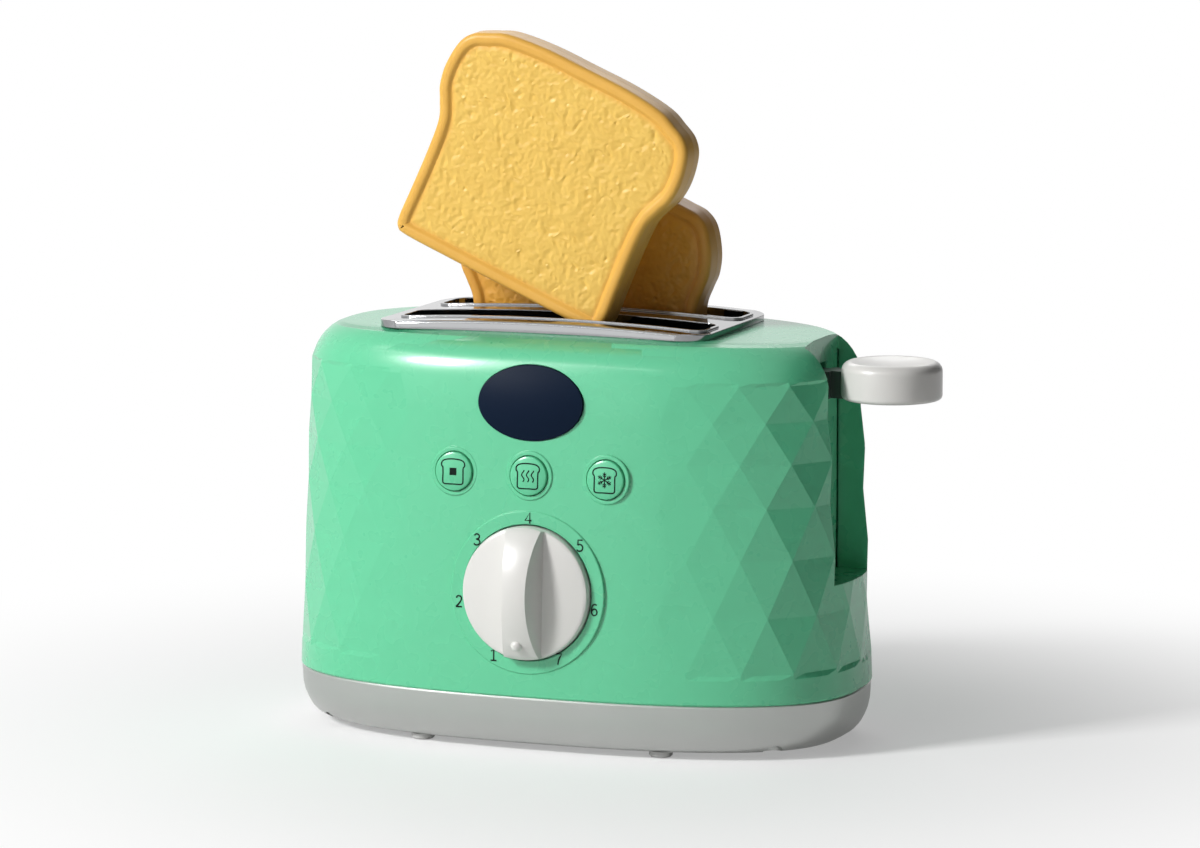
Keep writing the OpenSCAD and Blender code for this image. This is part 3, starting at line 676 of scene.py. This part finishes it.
def slice_half(name, side):
    """One moulded half: parting line, draft, rolled crust, and a field of evenly spaced points."""
    h = SLICE_T / 2
    profile = [(0, 0.03), (0.02, 0.25)] + [(0.0, h * f) for f in (0.2, 0.45, 0.7)]
    profile += [(1.9 * (1 - math.cos(a)), h - 1.9 + 1.9 * math.sin(a))
                for a in [math.pi / 2 * k / 8 for k in range(9)]]
    profile += [(2.7, h), (3.2, h - 0.1), (3.6, h - 0.32), (4.0, h - 0.68), (4.35, h - 0.98)]
    profile += [(RIM_IN, h - FIELD_DROP)]
    rings = [[(x, y_out, z) for x, z in drawn_in(slice_line, SLICE_GAP + inset + 0.35 * y_out / h)]
             for inset, y_out in profile]
    count = len(slice_line)
    points = [p for ring in rings for p in ring]
    faces = [tuple(range(count))]
    for k in range(len(rings) - 1):
        for i in range(count):
            a, b = k * count + i, k * count + (i + 1) % count
            faces.append((a, b, b + count, a + count))
    edge = [(x, z) for x, _, z in rings[-1]]
    inner = [Vector(p) for p in edge]
    loops = [(i, (i + 1) % count) for i in range(count)]
    row = 0
    z = 0.0
    while z < 83:
        x = -48.0 + (row % 2) * FIELD_GRID / 2
        crossings = sorted(
            edge[a][0] + (z - edge[a][1]) / (edge[b][1] - edge[a][1]) * (edge[b][0] - edge[a][0])
            for a, b in loops if (edge[a][1] > z) != (edge[b][1] > z))
        if len(crossings) >= 2:
            while x < 48:
                if crossings[0] + 0.4 < x < crossings[-1] - 0.4:
                    inner.append(Vector((x, z)))
                x += FIELD_GRID
        z += FIELD_GRID * 0.87
        row += 1
    verts, _, tris, orig, _, _ = geometry.delaunay_2d_cdt(inner, loops, [], 1, 1e-4)
    first, index = len(points), []
    start = (len(rings) - 1) * count
    for i, co in enumerate(verts):
        ring_point = [k for k in orig[i] if k < count]
        if ring_point:
            index.append(start + ring_point[0])
        else:
            index.append(len(points))
            points.append((co.x, h - FIELD_DROP, co.y))
    faces += [tuple(index[k] for k in tri) for tri in tris]
    mesh = bpy.data.meshes.new(name)
    mesh.from_pydata([(x, side * y, z) for x, y, z in points], [], faces)
    near = kdtree.KDTree(count)
    for i, (x, z) in enumerate(edge):
        near.insert((x, z, 0), i)
    near.balance()
    field = mesh.attributes.new("field", "FLOAT", "POINT")
    for i, (x, _, z) in enumerate(points):
        field.data[i].value = 0.0 if i < first else min(1.0, near.find((x, z, 0))[2] / 1.6)
    work = bmesh.new()
    work.from_mesh(mesh)
    bmesh.ops.recalc_face_normals(work, faces=work.faces)
    work.to_mesh(mesh)
    work.free()
    return mesh


RIDGE_SHARE, RIPPLE_SHARE, CREST_HEIGHT = 3.2, 1.6, 0.55
CRINKLE_DEPTH, CRINKLE_SIZE = 0.9, 5.0


def crinkled(mesh, depth, size, seed):
    """The same mesh with its field folded by noise, by a Geometry Nodes tree."""
    tree = bpy.data.node_groups.new("crinkle_field", "GeometryNodeTree")
    tree.interface.new_socket(name="Slice", in_out="INPUT", socket_type="NodeSocketGeometry")
    depth_socket = tree.interface.new_socket(name="Depth", in_out="INPUT", socket_type="NodeSocketFloat")
    size_socket = tree.interface.new_socket(name="Size", in_out="INPUT", socket_type="NodeSocketFloat")
    seed_socket = tree.interface.new_socket(name="Seed", in_out="INPUT", socket_type="NodeSocketFloat")
    tree.interface.new_socket(name="Slice", in_out="OUTPUT", socket_type="NodeSocketGeometry")
    new, link = tree.nodes.new, tree.links.new
    start, end = new("NodeGroupInput"), new("NodeGroupOutput")
    folds, fine = new("ShaderNodeTexNoise"), new("ShaderNodeTexNoise")
    for noise, factor, detail in ((folds, 1.0, 4.0), (fine, 2.6, 3.0)):
        noise.noise_dimensions = "4D"
        noise.inputs["Detail"].default_value = detail
        noise.inputs["Roughness"].default_value = 0.62
        noise.inputs["Distortion"].default_value = 0.8
        scale = new("ShaderNodeMath")
        scale.operation = "DIVIDE"
        scale.inputs[0].default_value = factor
        link(start.outputs["Size"], scale.inputs[1])
        link(scale.outputs[0], noise.inputs["Scale"])
        link(start.outputs["Seed"], noise.inputs["W"])

    def maths(operation, a, b=None):
        made = new("ShaderNodeMath")
        made.operation = operation
        for socket, value in zip(made.inputs, (a, b)):
            if value is None:
                continue
            if isinstance(value, (int, float)):
                socket.default_value = value
            else:
                link(value, socket)
        return made.outputs[0]

    # a fold is where the noise crosses its middle, so its distance from the middle is a ridge
    ridge = maths("ABSOLUTE", maths("SUBTRACT", folds.outputs[0], 0.5))
    ripple = maths("ABSOLUTE", maths("SUBTRACT", fine.outputs[0], 0.5))
    folded = maths("ADD", maths("MULTIPLY", ridge, RIDGE_SHARE), maths("MULTIPLY", ripple, RIPPLE_SHARE))
    height = maths("SUBTRACT", CREST_HEIGHT, folded)
    mask = new("GeometryNodeInputNamedAttribute")
    mask.data_type = "FLOAT"
    mask.inputs["Name"].default_value = "field"
    amount = maths("MULTIPLY", maths("MULTIPLY", height, start.outputs["Depth"]), mask.outputs[0])
    scaled, normal = new("ShaderNodeVectorMath"), new("GeometryNodeInputNormal")
    move = new("GeometryNodeSetPosition")
    scaled.operation = "SCALE"
    link(normal.outputs[0], scaled.inputs[0])
    link(amount, scaled.inputs["Scale"])
    link(start.outputs["Slice"], move.inputs["Geometry"])
    link(scaled.outputs[0], move.inputs["Offset"])
    realize, paint = new("GeometryNodeRealizeInstances"), new("GeometryNodeSetMaterial")
    paint.inputs["Material"].default_value = crust
    link(move.outputs[0], realize.inputs[0])
    link(realize.outputs[0], paint.inputs[0])
    link(paint.outputs[0], end.inputs[0])
    holder = add_object("slice_holder", mesh)
    modifier = holder.modifiers.new("crinkle", "NODES")
    modifier.node_group = tree
    modifier[depth_socket.identifier] = depth
    modifier[size_socket.identifier] = size
    modifier[seed_socket.identifier] = seed
    bpy.context.view_layer.update()
    made = bpy.data.meshes.new_from_object(holder.evaluated_get(bpy.context.evaluated_depsgraph_get()))
    holder.modifiers.clear()
    bpy.data.objects.remove(holder)
    return made


# %% Crust colour
def crust_finish(name, field_dark, field_light, rim_dark, rim_light):
    finish = Finish(name)
    field = finish.node("ShaderNodeAttribute", {"attribute_name": "field"}, output=2)
    cloud = finish.noise(9, 4, 0.6)
    flat = finish.blend(cloud, field_dark, field_light)
    rim = finish.blend(finish.noise(16, 2), rim_dark, rim_light)
    finish.relief(finish.noise(0.8, 2), 0.008, 0.3)
    finish.set(
        Base_Color=finish.blend(field, rim, flat),
        Roughness=0.36 + 0.08 * finish.noise(3, 3),
    )
    return finish.set(Specular_IOR_Level=0.35)


crust = crust_finish(
    "toast_plastic", (0.66, 0.40, 0.07), (0.78, 0.52, 0.115), (0.66, 0.35, 0.055), (0.74, 0.42, 0.08)
)
# the back slice's crust is darker and redder: partly its own colour, partly painted shade and orange light
# bounced between the two slices
darker_crust_and_painted_shade = crust_finish(
    "toast_plastic_darker_and_painted_shade", (0.64, 0.30, 0.03), (0.76, 0.40, 0.06), (0.62, 0.29, 0.04), (0.70, 0.36, 0.06)
)
print("crust ready")


# %% Place the slices
def put_slice(mesh, tilt, foot):
    """Moves a mesh in slice millimetres to its place in the frame."""
    turn = Matrix.Rotation(tilt, 3, "Y")
    for vertex in mesh.vertices:
        p = turn @ vertex.co
        vertex.co = place(p.x + foot[0], p.y + foot[1], p.z + foot[2])
    mesh.update()


for name, side, tilt, foot, body, node, seed in (
    ("front_slice_face", -1, SLICE_TILT, (-23.6, -SLOT_Y, 156.6), "slice_front", "toast_front_face", 1.0),
    ("front_slice_rear", 1, SLICE_TILT, (-23.6, -SLOT_Y, 156.6), "slice_front", "toast_front_rear", 2.0),
    ("back_slice_face", -1, 0.0, (-4.8, SLOT_Y, 104.0), "slice_back", "toast_back_face", 3.0),
    ("back_slice_rear", 1, 0.0, (-4.8, SLOT_Y, 104.0), "slice_back", "toast_back_rear", 4.0),
):
    half = crinkled(slice_half(name, side), CRINKLE_DEPTH, CRINKLE_SIZE, seed)
    put_slice(half, tilt, foot)
    piece = add_object(name, half)
    shade(piece.data, 35)
    # the back slice takes the darker crust, which is partly painted shade
    finish_piece(piece, crust if tilt else darker_crust_and_painted_shade, body, (node,))
print("slices placed")

# %% [markdown]
# ## Lever, buttons and inner works
# The paddle, arm and caps keep the construction model's shape with merged, smoothed copies. What
# lies inside shows only through the slots and from below, and gets its finish in the same way.

# %% Lever, buttons and the rest
REST = {
    "lever_paddle": ("lever_paddle_cap", warm_white, "lever", "warm_plastic"),
    # the arm's green tint is a painted reflection of the recess
    "lever_arm": ("lever_arm_bar", arm_painted_reflection_plastic, "lever", "arm_grey"),
    "stop_button": ("stop_cap", mint_button, "stop", "button_mint"),
    "reheat_button": ("reheat_cap", mint_button, "reheat", "button_mint"),
    "defrost_button": ("defrost_cap", mint_button, "defrost", "button_mint"),
    "feet": ("rubber_feet", rubber, "housing", "rubber"),
    # the slot wells take the near-black green of painted shade
    "inner_frame": ("slot_wells", wells_painted_shade, "housing", "dark_plastic"),
    "carriage": ("lift_carriage", warm_white, "lever", "warm_plastic"),
    "button_plate": ("button_carrier", warm_white, "housing", "warm_plastic"),
    "timer_case": ("timer_can", can_metal, "housing", "brass_can"),
    "timer_cover": ("timer_lid", can_metal, "housing", "brass_can"),
}
for node, (name, material, body, slot) in REST.items():
    dressed(node, name, material, body)
for node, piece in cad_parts.items():
    if not piece.hide_render:
        piece.data.materials.clear()
        piece.data.materials.append(zinc)
print("plain zinc parts:", [n for n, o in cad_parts.items() if not o.hide_render])

# %% [markdown]
# ## Floor and light
# A studio table: white paper that keeps the toy's shadow and turns to pure white further out. Only
# rays that are seen (by the eye, in a mirror or through glass) meet that white, so it adds no light to
# the toy. The world is the same: seen rays meet a bright studio with a dark right side, which is what
# makes the lattice sparkle, and all other rays meet a plain grey.


# %% Floor and background
PAPER_NEAR, PAPER_FAR, PAPER_FLOOR_WHITE = 0.09, 0.36, 0.32
AMBIENT, STUDIO_DARK = 0.08, 0.05
DARK_SIDE, DARK_FROM, DARK_TO = (1, 0.45, 0), 0.42, 0.78


def white_paper():
    finish = Finish("white_paper")
    shader = Value(finish, finish.surface.outputs[0])
    finish.set(Base_Color=(0.9, 0.9, 0.9), Roughness=1.0)
    distance = finish.node("ShaderNodeVectorMath", {"operation": "LENGTH"}, {0: finish.where()}, 1)
    far = PAPER_FLOOR_WHITE + (1 - PAPER_FLOOR_WHITE) * finish.step(distance, PAPER_NEAR, PAPER_FAR)
    seen = finish.ray("Camera") + finish.ray("Transmission") + 0.6 * finish.ray("Glossy")
    glow = finish.node("ShaderNodeEmission", {}, {"Color": (1, 1, 1), "Strength": 1.0})
    finish.show(finish.node("ShaderNodeMixShader", {}, {0: seen * far, 1: shader, 2: glow}))
    return finish.material


FLOOR = 3.0
floor_mesh = bpy.data.meshes.new("floor")
floor_mesh.from_pydata([(-FLOOR, -FLOOR, -0.0002), (FLOOR, -FLOOR, -0.0002), (FLOOR, FLOOR, -0.0002),
                        (-FLOOR, FLOOR, -0.0002)], [], [(0, 1, 2, 3)])
floor_mesh.materials.append(white_paper())
add_object("floor", floor_mesh)

bpy.context.scene.world = bpy.data.worlds.new("studio")
studio = Finish("studio", bpy.context.scene.world)
direction = studio.node("ShaderNodeTexCoord", output=0)
to_dark_side = studio.node(
    "ShaderNodeVectorMath", {"operation": "DOT_PRODUCT"}, {0: direction, 1: DARK_SIDE}, 1
)
bright = 1 - (1 - STUDIO_DARK) * studio.step(to_dark_side, DARK_FROM, DARK_TO)
glossy, straight = studio.ray("Glossy"), studio.ray("Camera") + studio.ray("Transmission")
studio.set(Color=straight + glossy * bright + (1 - straight - glossy) * AMBIENT, Strength=1.0)
print("floor and world ready")


# %% Lamps
def lamp(name, where, target, size, power, colour=(1, 1, 1)):
    data = bpy.data.lights.new(name, "AREA")
    data.shape, data.size, data.size_y = "RECTANGLE", size[0], size[1]
    data.energy, data.color = power, colour
    made = bpy.data.objects.new(name, data)
    bpy.context.scene.collection.objects.link(made)
    made.location = where
    made.rotation_euler = (Vector(target) - Vector(where)).to_track_quat("-Z", "Y").to_euler()
    return made


lamp("key", (-1.15, -1.35, 1.2), (0, 0, 0.08), (0.4, 0.4), 41)
lamp("front_fill", (-0.9, -2.0, 0.38), (0, 0, 0.08), (1.6, 1.2), 4)
lamp("shoulder_strip", (-0.9, -1.1, 1.45), (0, 0, 0.14), (2.0, 0.14), 4)
lamp("back_strip", (-0.5, 1.4, 1.1), (0, 0, 0.12), (1.2, 0.5), 6)
print("lamps:", len(bpy.data.lights))

# %% View
bpy.context.scene.view_settings.view_transform = "Standard"
